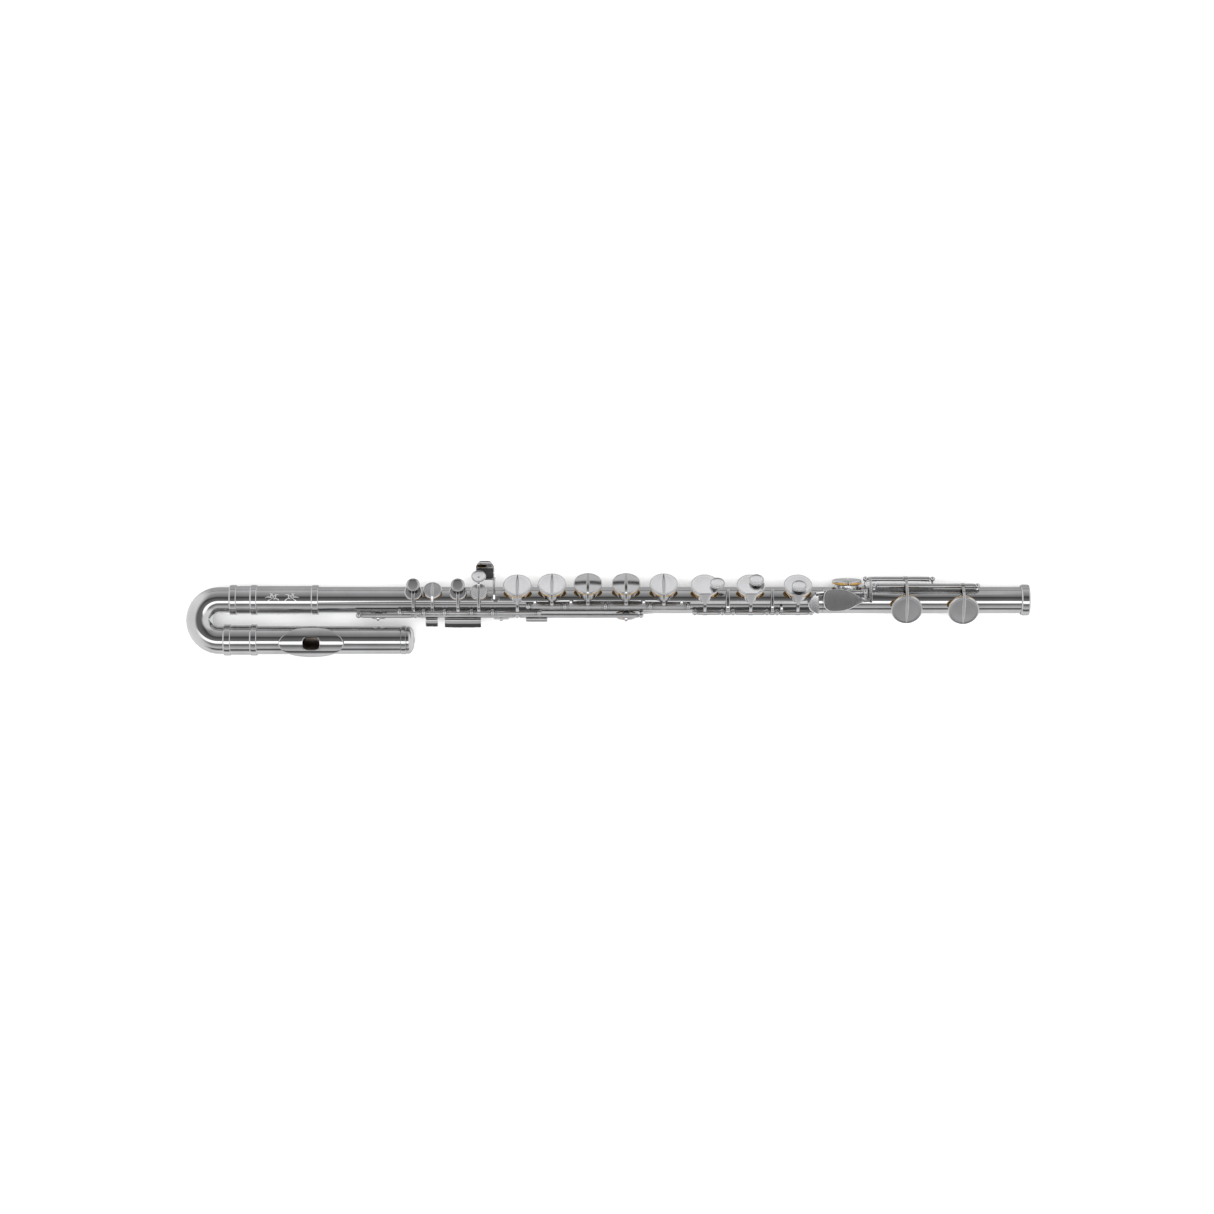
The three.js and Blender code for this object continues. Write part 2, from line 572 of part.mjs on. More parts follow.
KEYS.forEach(addKey);
addPiece('upper_trill_touch', trillTouch(142, 149), 'silver');
addPiece('lower_trill_touch', trillTouch(196, 202), 'silver');

// The finished flute stands on z = 0 with its footprint centred on the origin.
flute.updateMatrixWorld(true);
const box = new THREE.Box3().setFromObject(flute, true);
const middle = box.getCenter(new THREE.Vector3());
flute.position.set(-middle.x, -middle.y, -box.min.z);

export default flute;
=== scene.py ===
"""Studio scene of a silver bass flute with a U-bend head joint.

Shapes are made in millimetres in the flute's own axes: X is the body tube's axis, Z is up, and
angles round a tube are measured from +Z towards +Y. place() moves them into the frame.
"""
import json
import math

import bmesh
import bpy
from mathutils import Matrix, Vector


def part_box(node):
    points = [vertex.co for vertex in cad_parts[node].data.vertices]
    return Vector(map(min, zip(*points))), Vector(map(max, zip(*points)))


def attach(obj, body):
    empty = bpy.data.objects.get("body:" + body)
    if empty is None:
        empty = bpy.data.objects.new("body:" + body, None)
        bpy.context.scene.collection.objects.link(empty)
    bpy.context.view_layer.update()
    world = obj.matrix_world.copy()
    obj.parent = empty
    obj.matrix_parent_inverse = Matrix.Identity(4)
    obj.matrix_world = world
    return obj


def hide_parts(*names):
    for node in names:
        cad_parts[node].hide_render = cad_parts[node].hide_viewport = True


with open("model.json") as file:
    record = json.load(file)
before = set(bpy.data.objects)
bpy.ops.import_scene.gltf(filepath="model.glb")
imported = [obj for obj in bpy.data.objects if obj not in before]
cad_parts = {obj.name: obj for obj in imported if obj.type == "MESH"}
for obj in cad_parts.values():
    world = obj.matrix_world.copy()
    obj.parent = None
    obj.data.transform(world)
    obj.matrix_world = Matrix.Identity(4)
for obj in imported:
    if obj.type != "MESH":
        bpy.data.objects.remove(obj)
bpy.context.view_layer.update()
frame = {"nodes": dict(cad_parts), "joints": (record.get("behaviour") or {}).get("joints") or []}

# Driving dimensions, mm -----------------------------------------------------------------------
BODY_RADIUS = 16.0
WALL = 0.8
GAP = 0.3
HEAD_AXIS_Y = -48.4
BEND_X = -468.6
LEG_END_X = -424.0
CROOK_RADIUS = (15.5, 17.1)
HEAD_RADIUS = (17.2, 16.8)
CROWN_X = -249.0
FERRULE_START_X = -463.4
FERRULE_END_X = -422.7
BARREL_START_X = -456.2
BARREL_END_X = -348.5
FOOT_START_X = 260.5
FOOT_END_X = 510.6
TENON_LENGTH = 13.0
TENON_RADIUS = BODY_RADIUS - 1.3
FOOT_BORE_RADIUS = BODY_RADIUS - 1.0
LIP = dict(x=-356.4, tilt=-12.0, half_length=39.3, half_width=19.6, inner=20.3, outer=21.7)
MOUTH_HOLE = (9.8, 8.0)
STRAP_INNER = 16.3
STRAP_OUTER = 17.4
POST_FOOT = 17.2
HINGE_TUBE = 2.7
HINGE_BORE = 1.5
BALL = 3.2
SKIRT = 2.4
FACE_DOME = 0.35
POLISHED_DOME = 0.7

# Sides of large and small turned surfaces, and the edge angle, in degrees, kept sharp after a cut.
TUBE_SIDES = 128
ROUND = 72
CUT_EDGE = 35

# Cup sizes: cup radius, tone hole radius, and how far the hole's rim and the cup's face stand out.
CUPS = {
    "large": dict(radius=17.4, hole=13.6, rim=19.2, face=24.2),
    "foot": dict(radius=18.8, hole=14.2, rim=19.6, face=24.8),
    "pinky": dict(radius=18.2, hole=14.2, rim=19.6, face=24.8),
    "small": dict(radius=10.5, hole=7.4, rim=18.2, face=22.6),
    "trill": dict(radius=11.5, hole=7.8, rim=18.2, face=22.6),
    "near": dict(radius=10.0, hole=6.5, rim=18.2, face=22.4),
    "side": dict(radius=12.5, hole=8.6, rim=18.2, face=22.4),
}

# name: cup centre x, direction phi, cup size, hinge tube ends, standing angle, button
# (radius, along, across, lift, tilt) or None.
KEYS = {
    "c_sharp_key": (-233.2, 30, "small", (-247, -224), 8, (8.2, 0, 6, 6.5, 0)),
    "lower_trill_key": (-210.3, 34, "trill", (-218, -199), 0, None),
    "c_key": (-179.4, 30, "small", (-193, -166.5), 8, (8.5, 0, 5.5, 6.5, 0)),
    "b_key": (-154.4, 30, "small", (-160.5, -141), 8, (9.0, 0, 16, 8, 14)),
    "a_sharp_key": (-107.9, 52, "large", (-135, -85), 12, None),
    "a_key": (-66.3, 52, "large", (-92, -53.8), 12, None),
    "g_sharp_twin_key": (-23, 56, "large", (-47.8, -5), 12, None),
    "g_key": (23, 56, "large", (1, 49), 12, None),
    "f_sharp_key": (68.4, 52, "large", (55, 95), 12, None),
    "f_key": (117.9, 52, "large", (109, 136), 12, (9.1, 15, -1.4, 4, 0)),
    "e_key": (173, 52, "large", (155, 190), 12, (9.1, 7, 3.9, 4, 0)),
    "d_key": (229.9, 52, "large", (208, 243), 12, (9.1, 1, -5.5, 4, 0)),
    "upper_trill_key": (-276.5, -100, "near", (-297, -234), 0, None),
    "thumb_key": (-128, -100, "near", (-228, -111.5), -8, None),
    "g_sharp_key": (23, -105.5, "side", (-105.5, 38), 0, None),
    "d_sharp_key": (290.2, 83, "pinky", (266.6, 307), 0, None),
    "low_c_sharp_key": (360.6, -36, "foot", (315.6, 389.5), -8, None),
    "low_c_key": (428.9, -36, "foot", (325, 443.5), -8, None),
}
# How far an arm's knee stands off the straight line to its cup; KNEE_LIFT holds the exceptions.
ARM_KNEE_LIFT = 2.5
KNEE_LIFT = {"low_c_sharp_key": 6.0}
# Where the clutch lugs sit along X.
LUGS = {
    "a_key": (-88.5, -85), "g_sharp_twin_key": (-45.2, -41.7), "g_key": (42.4, 46),
    "f_sharp_key": (88, 91.5), "d_key": (208.6, 212),
}
# Keys whose cup face isn't pale brushed silver: polished faces, and faces in a darker copy of the brushed
# silver, which is painted shade.
POLISHED_FACES = ("g_sharp_twin_key", "g_key")
SHADE_PAINTED_FACES = ("c_sharp_key", "c_key", "lower_trill_key", "low_c_sharp_key", "low_c_key", "d_sharp_key")

# Hinge lines (y, z), the ends of their steels along X, and each rib's straps (ends along X, low and
# high angle) and posts (hinge line, foot angle, places along X).
LINES = {
    "main": (-8, 19.5), "left": (-15.5, 14.3), "right": (-15.5, 14.3), "near": (-18.9, 8.2),
    "pinky": (9.6, 19.8), "foot_inner": (17, 13.5), "foot_outer": (25.4, 7),
}
STEELS = {
    "main": (-97, 100), "left": (-252, -80), "right": (104, 248), "near": (-302, 43),
    "pinky": (260.5, 313), "foot_inner": (320, 448.5), "foot_outer": (310, 395),
}
RIBS = {
    "left_rib": dict(straps=[(-303, -79, -62, -38)],
                     posts=[("left", -47.3, (-250, -221, -196, -163.5, -138, -82)),
                            ("near", -60, (-300, -231, -108.5))]),
    "main_rib": dict(straps=[(-98, 101, -36, -14), (38.8, 43.2, -58, -35)],
                     posts=[("main", -22.3, (-95, -50.8, -2, 52, 98)), ("near", -54, (41,))]),
    "right_rib": dict(straps=[(103, 249, -56, -38)],
                      posts=[("right", -47.3, (106, 139, 152, 193, 205, 246))]),
    "foot_rib": dict(straps=[(308, 449, 44, 80), (260.8, 318, 2, 14), (307, 318, 2, 50)],
                     posts=[("pinky", 10, (262.5, 311)), ("foot_inner", 51.5, (322, 446.5)),
                            ("foot_outer", 74.6, (312, 393))]),
}

# The flute's axes in the frame: the foot ring's CAD box holds the body tube's axis and far end.
ring_low, ring_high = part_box("foot_end_ring")
ORIGIN = Vector((ring_high.x - FOOT_END_X / 1000,
                 (ring_low.y + ring_high.y) / 2, (ring_low.z + ring_high.z) / 2))


# Mesh building ----------------------------------------------------------------------------------
class Shape:
    """Closed surfaces made of loops of points; each face carries a material index, its mark."""

    def __init__(self):
        self.points = []
        self.faces = []
        self.marks = []

    def loft(self, loops, wrap=False, mark=0):
        """Joins loops of equal length: wrap joins the last to the first, or else both ends are closed.

        mark is one material index, or a list with one for each band between loops.
        """
        first = len(self.points)
        count = len(loops[0])
        for loop in loops:
            self.points.extend(loop)
        bands = len(loops) if wrap else len(loops) - 1
        marks = mark if isinstance(mark, list) else [mark] * bands
        for i in range(bands):
            a = first + i * count
            b = first + ((i + 1) % len(loops)) * count
            for j in range(count):
                k = (j + 1) % count
                self.faces.append((a + j, a + k, b + k, b + j))
                self.marks.append(marks[i])
        if not wrap:
            last = first + bands * count
            self.faces.append(tuple(range(first, first + count)))
            self.faces.append(tuple(range(last, last + count)))
            self.marks.extend([marks[0], marks[-1]])

    def lathe(self, profile, matrix, sides, wrap=False, mark=0):
        """Turns (radius, height) points about the matrix's Z axis."""
        loops = []
        for radius, height in profile:
            loops.append([matrix @ Vector((radius * math.cos(a), radius * math.sin(a), height))
                          for a in (2 * math.pi * i / sides for i in range(sides))])
        self.loft(loops, wrap=wrap, mark=mark)

    def sweep(self, path, widths, heights, side=Vector((1, 0, 0)), sides=12, boxy=0.6):
        """Runs a section along a path; widths lie along side, and boxy 1 makes it an ellipse."""
        loops = []
        for i, point in enumerate(path):
            run = path[min(i + 1, len(path) - 1)] - path[max(i - 1, 0)]
            across = side.cross(run).normalized()
            loop = []
            for j in range(sides):
                angle = 2 * math.pi * (j + 0.5) / sides
                w = math.copysign(abs(math.cos(angle)) ** boxy, math.cos(angle)) * widths[i] / 2
                h = math.copysign(abs(math.sin(angle)) ** boxy, math.sin(angle)) * heights[i] / 2
                loop.append(point + side * w + across * h)
            loops.append(loop)
        self.loft(loops)


def solid(name, shape, materials=(), turn=None):
    """Makes an object in the frame from a shape in mm, with its faces pointing outwards."""
    mesh = bpy.data.meshes.new(name)
    points = [turn @ p if turn else p for p in shape.points]
    mesh.from_pydata([ORIGIN + p / 1000 for p in points], [], shape.faces)
    mesh.polygons.foreach_set("material_index", shape.marks)
    for material in materials:
        mesh.materials.append(material)
    work = bmesh.new()
    work.from_mesh(mesh)
    bmesh.ops.remove_doubles(work, verts=work.verts, dist=1e-7)
    bmesh.ops.recalc_face_normals(work, faces=work.faces)
    work.to_mesh(mesh)
    work.free()
    piece = bpy.data.objects.new(name, mesh)
    bpy.context.scene.collection.objects.link(piece)
    return piece


def place(name, shape, materials, body, replaces, turn=None, sharp=32):
    """Makes a visible piece, turned about its hinge if it stands open, and rides it on its body."""
    piece = solid(name, shape, materials, turn)
    finish_surface(piece.data, sharp)
    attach(piece, body)
    if replaces:
        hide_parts(*replaces)
    return piece


def finish_surface(mesh, sharp):
    """Smooth shading, broken at edges steeper than sharp degrees."""
    mesh.shade_smooth()
    mesh.set_sharp_from_angle(angle=math.radians(sharp))


def along_x(x=0.0, y=0.0, z=0.0):
    """A lathe axis that runs along +X through a point."""
    return Matrix.Translation((x, y, z)) @ Matrix.Rotation(math.pi / 2, 4, "Y")


def outward(x, phi):
    """A frame on the body tube's axis whose Z points out at angle phi."""
    return Matrix.Translation((x, 0, 0)) @ Matrix.Rotation(-math.radians(phi), 4, "X")


def arc(radius_from, radius_to, start, end, steps):
    """Quarter-round steps between two (radius, height) corners."""
    out = []
    for i in range(1, steps + 1):
        t = i / steps * math.pi / 2
        out.append((radius_from + (radius_to - radius_from) * (1 - math.cos(t)),
                    start + (end - start) * math.sin(t)))
    return out


def smooth_path(points, steps=7):
    """A Catmull-Rom curve through the points."""
    ends = [points[0] * 2 - points[1]] + list(points) + [points[-1] * 2 - points[-2]]
    out = []
    for i in range(1, len(ends) - 2):
        p0, p1, p2, p3 = ends[i - 1:i + 3]
        for s in range(steps):
            t = s / steps
            out.append(0.5 * ((2 * p1) + (p2 - p0) * t + (2 * p0 - 5 * p1 + 4 * p2 - p3) * t ** 2
                              + (3 * p1 - p0 - 3 * p2 + p3) * t ** 3))
    out.append(points[-1].copy())
    return out


def blend_values(values, count):
    """Spreads a few values evenly over count places."""
    out = []
    for i in range(count):
        t = i / (count - 1) * (len(values) - 1)
        k = min(int(t), len(values) - 2)
        out.append(values[k] + (values[k + 1] - values[k]) * (t - k))
    return out


def boolean(piece, shapes, operation):
    """Joins shapes to the piece or cuts them from it."""
    helpers = [solid("helper", shape) for shape in shapes]
    for helper in helpers:
        step = piece.modifiers.new("cut", "BOOLEAN")
        step.operation = operation
        step.solver = "EXACT"
        step.object = helper
    bpy.context.view_layer.update()
    evaluated = piece.evaluated_get(bpy.context.evaluated_depsgraph_get())
    result = bpy.data.meshes.new_from_object(evaluated)
    piece.modifiers.clear()
    piece.data = result
    for helper in helpers:
        bpy.data.objects.remove(helper)


# Materials --------------------------------------------------------------------------------------
class Nodes:
    """A material's node tree with short calls for the nodes used here."""

    def __init__(self, name):
        self.material = bpy.data.materials.new(name)
        self.material.use_nodes = True
        self.tree = self.material.node_tree
        self.shader = self.tree.nodes["Principled BSDF"]
        self.place = self.tree.nodes.new("ShaderNodeTexCoord").outputs["Object"]

    def link(self, output, target):
        self.tree.links.new(output, target)

    def noise(self, stretch, detail=4.0, rough=0.55):
        """Noise whose grain is finer along the axes with a larger stretch."""
        mapping = self.tree.nodes.new("ShaderNodeMapping")
        mapping.inputs["Scale"].default_value = stretch
        self.link(self.place, mapping.inputs["Vector"])
        node = self.tree.nodes.new("ShaderNodeTexNoise")
        node.inputs["Scale"].default_value = 1.0
        node.inputs["Detail"].default_value = detail
        node.inputs["Roughness"].default_value = rough
        self.link(mapping.outputs["Vector"], node.inputs["Vector"])
        return node.outputs["Fac"]

    def ramp(self, factor, stops):
        """Colours by factor, from (position, colour) stops."""
        node = self.tree.nodes.new("ShaderNodeValToRGB")
        elements = node.color_ramp.elements
        while len(elements) < len(stops):
            elements.new(0.5)
        for element, (position, colour) in zip(elements, stops):
            element.position = position
            element.color = (*colour, 1)
        self.link(factor, node.inputs["Fac"])
        return node.outputs["Color"]

    def span(self, factor, low, high):
        """The middle of a noise spread from low to high."""
        node = self.tree.nodes.new("ShaderNodeMapRange")
        node.inputs["From Min"].default_value = 0.3
        node.inputs["From Max"].default_value = 0.7
        node.inputs["To Min"].default_value = low
        node.inputs["To Max"].default_value = high
        self.link(factor, node.inputs["Value"])
        return node.outputs["Result"]

    def bump(self, height, strength, distance):
        """Relief in the surface; distance is in metres."""
        node = self.tree.nodes.new("ShaderNodeBump")
        node.inputs["Strength"].default_value = strength
        node.inputs["Distance"].default_value = distance
        self.link(height, node.inputs["Height"])
        self.link(node.outputs["Normal"], self.shader.inputs["Normal"])


def metal(name, light, dark, roughness, grain, grain_depth):
    """Silver or steel: cloudy tarnish, roughness that varies, and fine polishing lines."""
    nodes = Nodes(name)
    nodes.shader.inputs["Metallic"].default_value = 1.0
    clouds = nodes.noise((28, 28, 28), detail=5)
    nodes.link(nodes.ramp(clouds, [(0.35, dark), (0.62, light)]), nodes.shader.inputs["Base Color"])
    lines = nodes.noise(grain, detail=3)
    nodes.link(nodes.span(lines, *roughness), nodes.shader.inputs["Roughness"])
    nodes.bump(lines, grain_depth, 0.0001)
    return nodes.material


SILVER = metal("polished_silver", (0.50, 0.50, 0.505), (0.44, 0.44, 0.44),
               (0.03, 0.09), (60, 900, 900), 0.03)
SATIN = metal("brushed_silver", (0.84, 0.84, 0.85), (0.78, 0.78, 0.785),
              (0.17, 0.27), (2600, 90, 90), 0.04)
# The brushed silver at half its brightness: painted shade for the cup faces and buttons that should look
# dark grey.
SHADED_BRUSHED_SILVER = metal("brushed_silver_painted_shade", (0.42, 0.42, 0.425), (0.36, 0.36, 0.365),
                   (0.15, 0.25), (2600, 90, 90), 0.04)
MIRROR = metal("polished_face", (0.62, 0.62, 0.625), (0.56, 0.56, 0.565),
               (0.05, 0.10), (60, 900, 900), 0.02)
STEEL = metal("ground_steel", (0.62, 0.63, 0.65), (0.50, 0.51, 0.53),
              (0.16, 0.30), (90, 2400, 2400), 0.1)
BORE = metal("dull_bore", (0.36, 0.31, 0.27), (0.24, 0.20, 0.17),
             (0.30, 0.5), (300, 900, 900), 0.1)
BLUED = metal("blued_spring", (0.10, 0.12, 0.22), (0.05, 0.06, 0.12),
              (0.18, 0.3), (900, 900, 900), 0.05)


def pad_skin():
    """Amber goldbeater's skin with a thin varnish."""
    nodes = Nodes("amber_pad_skin")
    fine = nodes.noise((700, 700, 700), detail=6)
    colours = [(0.30, (0.22, 0.105, 0.018)), (0.55, (0.42, 0.235, 0.045)), (0.75, (0.55, 0.36, 0.10))]
    nodes.link(nodes.ramp(fine, colours), nodes.shader.inputs["Base Color"])
    nodes.link(nodes.span(fine, 0.30, 0.50), nodes.shader.inputs["Roughness"])
    nodes.shader.inputs["Coat Weight"].default_value = 0.3
    nodes.shader.inputs["Coat Roughness"].default_value = 0.25
    nodes.bump(fine, 0.5, 0.0003)
    return nodes.material


def cork():
    """Brown cork with a coarse open grain."""
    nodes = Nodes("natural_cork")
    grain = nodes.noise((900, 900, 900), detail=8, rough=0.7)
    colours = [(0.3, (0.20, 0.10, 0.04)), (0.5, (0.48, 0.30, 0.15)), (0.7, (0.62, 0.42, 0.24))]
    nodes.link(nodes.ramp(grain, colours), nodes.shader.inputs["Base Color"])
    nodes.shader.inputs["Roughness"].default_value = 0.9
    nodes.bump(grain, 0.8, 0.0006)
    return nodes.material


def liner_skin():
    """Black hide with a fine grain."""
    nodes = Nodes("black_liner")
    hide = nodes.noise((1400, 1400, 1400), detail=6)
    nodes.link(nodes.ramp(hide, [(0.3, (0.006, 0.006, 0.006)), (0.7, (0.02, 0.02, 0.02))]),
               nodes.shader.inputs["Base Color"])
    nodes.link(nodes.span(hide, 0.45, 0.65), nodes.shader.inputs["Roughness"])
    nodes.bump(hide, 0.5, 0.0002)
    return nodes.material


PAD = pad_skin()
LINER = liner_skin()
CORK = cork()


# Tubes ------------------------------------------------------------------------------------------
def hollow(shape, outer, bore, matrix, sides, bore_mark=0):
    """A turned tube: (radius, height) points along the outside, and others along the bore."""
    marks = [0] * len(outer) + [bore_mark] * len(bore)
    shape.lathe(outer + bore[::-1], matrix, sides, wrap=True, mark=marks)


def tone_holes(keys):
    """Chimneys with a rolled rim, and the cutters for their holes."""
    chimneys, cutters = [], []
    for x, phi, size, *_ in keys:
        hole, rim = CUPS[size]["hole"], CUPS[size]["rim"]
        wall = Shape()
        wall.lathe([(hole + 0.7, 4), (hole + 0.7, rim - 1.1), (hole + 0.95, rim - 0.8),
                    (hole + 1.05, rim - 0.4), (hole + 0.9, rim - 0.1), (hole + 0.5, rim),
                    (hole + 0.15, rim - 0.1)], outward(x, phi), ROUND)
        chimneys.append(wall)
        cutter = Shape()
        cutter.lathe([(hole, 2), (hole, 32)], outward(x, phi), ROUND)
        cutters.append(cutter)
    return chimneys, cutters


def drawn_tube(name, outer, bore, keys, node):
    """A tube whose tone holes are drawn out of its wall."""
    outside = Shape()
    outside.lathe(outer, along_x(), TUBE_SIDES)
    piece = place(name, outside, [SILVER], "flute_body", [node])
    chimneys, cutters = tone_holes(keys)
    boolean(piece, chimneys, "UNION")
    inside = Shape()
    inside.lathe(bore, along_x(), TUBE_SIDES)
    boolean(piece, [inside] + cutters, "DIFFERENCE")
    finish_surface(piece.data, CUT_EDGE)


def body_tube():
    """The body joint's tube, stepped down to the tenon that the foot joint slides over."""
    start, end = LEG_END_X + 3, FOOT_START_X + TENON_LENGTH
    shoulder = FOOT_START_X - GAP
    outer = [(BODY_RADIUS, start), (BODY_RADIUS, shoulder - 0.3), (BODY_RADIUS - 0.3, shoulder),
             (TENON_RADIUS, shoulder), (TENON_RADIUS, end)]
    bore = [(BODY_RADIUS - WALL, start - 1), (BODY_RADIUS - WALL, shoulder - 3),
            (TENON_RADIUS - WALL, shoulder - 3), (TENON_RADIUS - WALL, end + 1)]
    keys = [key for key in KEYS.values() if key[0] < FOOT_START_X]
    drawn_tube("body_tube_wall", outer, bore, keys, "body_tube")


def foot_tube():
    """The foot joint's tube, which ends just inside its end ring."""
    start, end = FOOT_START_X, FOOT_END_X - 1
    outer = [(BODY_RADIUS - 0.3, start), (BODY_RADIUS, start + 0.3), (BODY_RADIUS, end)]
    bore = [(FOOT_BORE_RADIUS, start - 1), (FOOT_BORE_RADIUS, end + 1)]
    keys = [key for key in KEYS.values() if key[0] > FOOT_START_X]
    drawn_tube("foot_tube_wall", outer, bore, keys, "foot_tube")


def mouth_outline(grow, count):
    """Points (x, y) round the mouth hole, a superellipse."""
    squareness = 3.4
    a, b = MOUTH_HOLE[0] + grow, MOUTH_HOLE[1] + grow
    out = []
    for i in range(count):
        angle = 2 * math.pi * i / count
        c, s = math.cos(angle), math.sin(angle)
        scale = (abs(c) ** squareness + abs(s) ** squareness) ** (-1 / squareness)
        out.append(Vector((a * c * scale, b * s * scale)))
    return out


def head_tube():
    """The head joint's tapered tube, cut for the mouth hole."""
    shape = Shape()
    start, end = LEG_END_X + GAP, CROWN_X - GAP
    outer = [(HEAD_RADIUS[0], start), (HEAD_RADIUS[1], end)]
    bore = [(HEAD_RADIUS[0] - WALL, start), (HEAD_RADIUS[1] - WALL, end)]
    hollow(shape, outer, bore, along_x(0, HEAD_AXIS_Y, 0), TUBE_SIDES, bore_mark=1)
    piece = place("head_tube_wall", shape, [SILVER, BORE], "flute_body", ["head_tube"])
    cutter = Shape()
    matrix = Matrix.Translation((0, HEAD_AXIS_Y, 0)) @ outward(LIP["x"], LIP["tilt"])
    outline = mouth_outline(0, 64)
    cutter.loft([[matrix @ Vector((p.x, p.y, z)) for p in outline] for z in (8, 30)])
    boolean(piece, [cutter], "DIFFERENCE")
    finish_surface(piece.data, CUT_EDGE)


def lip_plate():
    """One closed skin: down the hole, out over the plate, round its edge and back under it."""
    count = 112
    rounding, rim_drop, riser_foot, edge_share = 1.2, 0.1, 17.6, 0.035
    hole = mouth_outline(0, count)
    riser = mouth_outline(2.2, count)
    oval = []
    for i in range(count):
        angle = 2 * math.pi * i / count
        oval.append(Vector((LIP["half_length"] * math.cos(angle), LIP["half_width"] * math.sin(angle))))

    def wrapped(p, radius):
        """A flat point of the plate, bent round the head tube's axis."""
        reach = max(-0.999, min(0.999, p.y / LIP["outer"]))
        phi = math.asin(reach) + math.radians(LIP["tilt"])
        return Vector((LIP["x"] + p.x, HEAD_AXIS_Y + radius * math.sin(phi), radius * math.cos(phi)))

    def ring(inner, outer, share, radius):
        """A loop that lies a share of the way between two outlines."""
        return [wrapped(a.lerp(b, share), radius) for a, b in zip(inner, outer)]

    top, under = LIP["outer"], LIP["inner"]
    loops = [ring(hole, hole, 0, 16.4), ring(hole, hole, 0, top - rounding)]
    for k in range(1, 4):
        turn = k / 3 * math.pi / 2
        height = top - rounding + rounding * math.sin(turn)
        loops.append(ring(hole, oval, edge_share * (1 - math.cos(turn)), height))
    for k in range(1, 12):
        share = edge_share + 0.92 * k / 11
        loops.append(ring(hole, oval, share, top - rim_drop * share ** 3))
    for k in range(1, 5):
        turn = k / 4 * math.pi / 2
        height = top - rim_drop - 0.9 * (1 - math.cos(turn))
        loops.append(ring(hole, oval, 0.955 + 0.045 * math.sin(turn), height))
    for share in (0.985, 0.7, 0.4):
        loops.append(ring(riser, oval, share, under))
    loops.append(ring(riser, riser, 0, under))
    loops.append(ring(riser, riser, 0, riser_foot))
    shape = Shape()
    shape.loft(loops, wrap=True, mark=[1] + [0] * (len(loops) - 1))
    place("lip_plate_and_riser", shape, [SILVER, BORE], "flute_body", ["lip_plate"])


def crown():
    """The domed crown, its plug in the tube, and the stopper's screw and plate, in one turning."""
    x = CROWN_X
    profile = [(14.6, -327), (14.6, -325), (2.2, -324.6), (2.2, -256), (15.2, -255.6), (15.2, x),
               (16.8, x), (17.4, x + 0.5), (17.5, x + 1.6), (17.5, x + 5.2), (17.2, x + 6.2),
               (16.5, x + 6.8), (16.5, x + 7.4), (16.9, x + 7.8), (16.9, x + 8.6)]
    profile += arc(16.9, 5.0, x + 8.6, x + 15.6, 12)
    profile += [(2.5, x + 16.2)]
    shape = Shape()
    shape.lathe(profile, along_x(0, HEAD_AXIS_Y, 0), 96)
    place("crown_and_stopper_screw", shape, [SILVER], "flute_body", ["crown_cap"])


def bead(profile, start, end, base, top):
    """Adds a turned ring: a long curved shoulder, a flat land and a short round one."""
    long_way, short_way = (end - start) * 0.36, (end - start) * 0.2
    for i in range(8):
        t = i / 7 * math.pi / 2
        profile.append((base + (top - base) * math.sin(t), start + long_way * (1 - math.cos(t))))
    for i in range(8):
        t = math.pi / 2 * (1 - i / 7)
        profile.append((base + (top - base) * math.sin(t), end - short_way * (1 - math.cos(t))))


def sleeve(name, node, span, inner, outer, beads, y=0.0):
    """A turned ferrule or ring with round beads."""
    profile = [(outer, span[0])]
    for start, end, top in beads:
        bead(profile, start, end, outer + 0.1, top)
    profile.append((outer, span[1]))
    bore = [(inner, span[0]), (inner, span[1])]
    shape = Shape()
    hollow(shape, profile, bore, along_x(0, y, 0), 96, bore_mark=1)
    place(name, shape, [SILVER, BORE], "flute_body", [node])


def crook():
    """The U-bend: a circle swept round two legs and a half circle, growing towards the head."""
    radius = -HEAD_AXIS_Y / 2
    leg = LEG_END_X - BEND_X
    centre = []
    for i in range(4):
        centre.append((Vector((LEG_END_X - leg * i / 4, 0, 0)), 0.0))
    for i in range(49):
        turn = math.pi * i / 48
        spot = Vector((BEND_X - radius * math.sin(turn), -radius * (1 - math.cos(turn)), 0))
        centre.append((spot, turn))
    for i in range(1, 5):
        centre.append((Vector((BEND_X + leg * i / 4, HEAD_AXIS_Y, 0)), math.pi))

    def ring(i, shrink):
        """The round section at place i along the centre line."""
        spot, turn = centre[i]
        share = i / (len(centre) - 1)
        size = CROOK_RADIUS[0] + (CROOK_RADIUS[1] - CROOK_RADIUS[0]) * share - shrink
        out = Vector((-math.sin(turn), math.cos(turn), 0))
        return [spot + out * (size * math.cos(a)) + Vector((0, 0, size * math.sin(a)))
                for a in (2 * math.pi * j / 72 for j in range(72))]

    count = len(centre)
    outside = [ring(i, 0) for i in range(count)]
    bore = [ring(i, WALL) for i in reversed(range(count))]
    shape = Shape()
    shape.loft(outside + bore, wrap=True, mark=[0] * count + [1] * count)
    place("crook_tube", shape, [SILVER, BORE], "flute_body", ["crook_bend"], sharp=60)


# Ribs, posts and steels --------------------------------------------------------------------------
def strap(shape, start, end, low_phi, high_phi):
    """A curved rib plate that hugs the tube."""
    steps = 14
    angles = [math.radians(low_phi + (high_phi - low_phi) * i / steps) for i in range(steps + 1)]
    section = [(STRAP_OUTER, a) for a in angles] + [(STRAP_INNER, a) for a in reversed(angles)]
    shape.loft([[Vector((x, r * math.sin(a), r * math.cos(a))) for r, a in section]
                for x in (start, end)])


